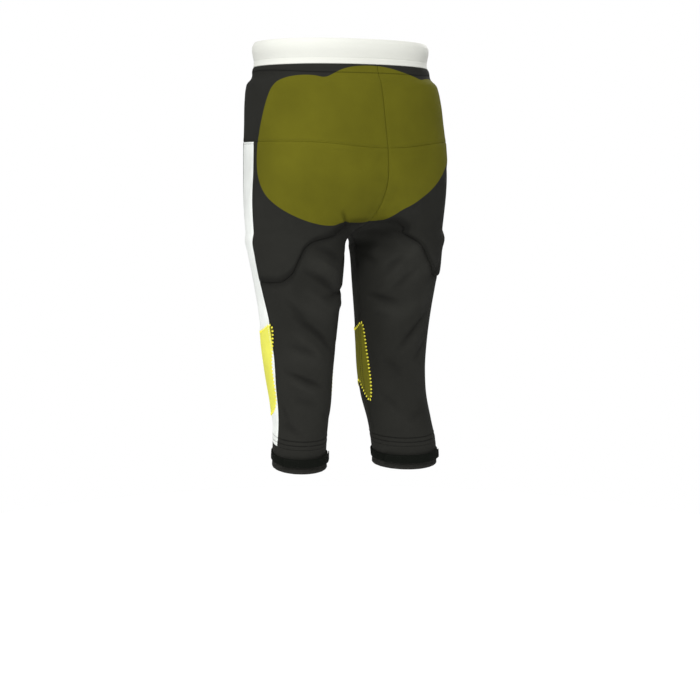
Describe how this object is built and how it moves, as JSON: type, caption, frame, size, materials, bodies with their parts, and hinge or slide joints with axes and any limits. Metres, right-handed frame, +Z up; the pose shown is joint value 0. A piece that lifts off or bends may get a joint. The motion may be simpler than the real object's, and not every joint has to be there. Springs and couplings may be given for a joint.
{
  "type": "hip pad tights",
  "caption": "Three-quarter-length padded tights, worn form, with moulded foam pads over hips, tail and knees, a wide elastic waistband and hook-and-loop calf straps.",
  "frame": {"origin": "centre of the waist opening at its top rim", "axes": "+Z up through the waist opening, -Y the wearer's front, +X the wearer's left"},
  "size_m": [0.3442, 0.2513, 0.6846],
  "materials": {
    "waist_elastic": "ribbed white woven elastic",
    "black_cloth": "matt black stretch jersey, fine mesh over the pads",
    "white_cloth": "white stretch jersey",
    "strap_tape": "black hook-and-loop tape with a fuzzy pile",
    "pad_foam": "satin yellow moulded foam"
  },
  "bodies": {
    "root": {"waistband": "waist_elastic", "yoke_left": "black_cloth", "seat_panel_left": "black_cloth", "leg_back_left": "black_cloth", "side_stripe_left": "white_cloth", "front_panel_left": "black_cloth", "hem_cuff_left": "black_cloth", "calf_strap_left": "strap_tape", "strap_tab_left": "strap_tape", "knee_pad_left": "pad_foam", "yoke_right": "black_cloth", "seat_panel_right": "black_cloth", "leg_back_right": "black_cloth", "side_stripe_right": "white_cloth", "front_panel_right": "black_cloth", "hem_cuff_right": "black_cloth", "calf_strap_right": "strap_tape", "strap_tab_right": "strap_tape", "knee_pad_right": "pad_foam", "hip_pad_left": "pad_foam", "tail_pad": "pad_foam", "hip_pad_right": "pad_foam"}
  },
  "joints": []
}
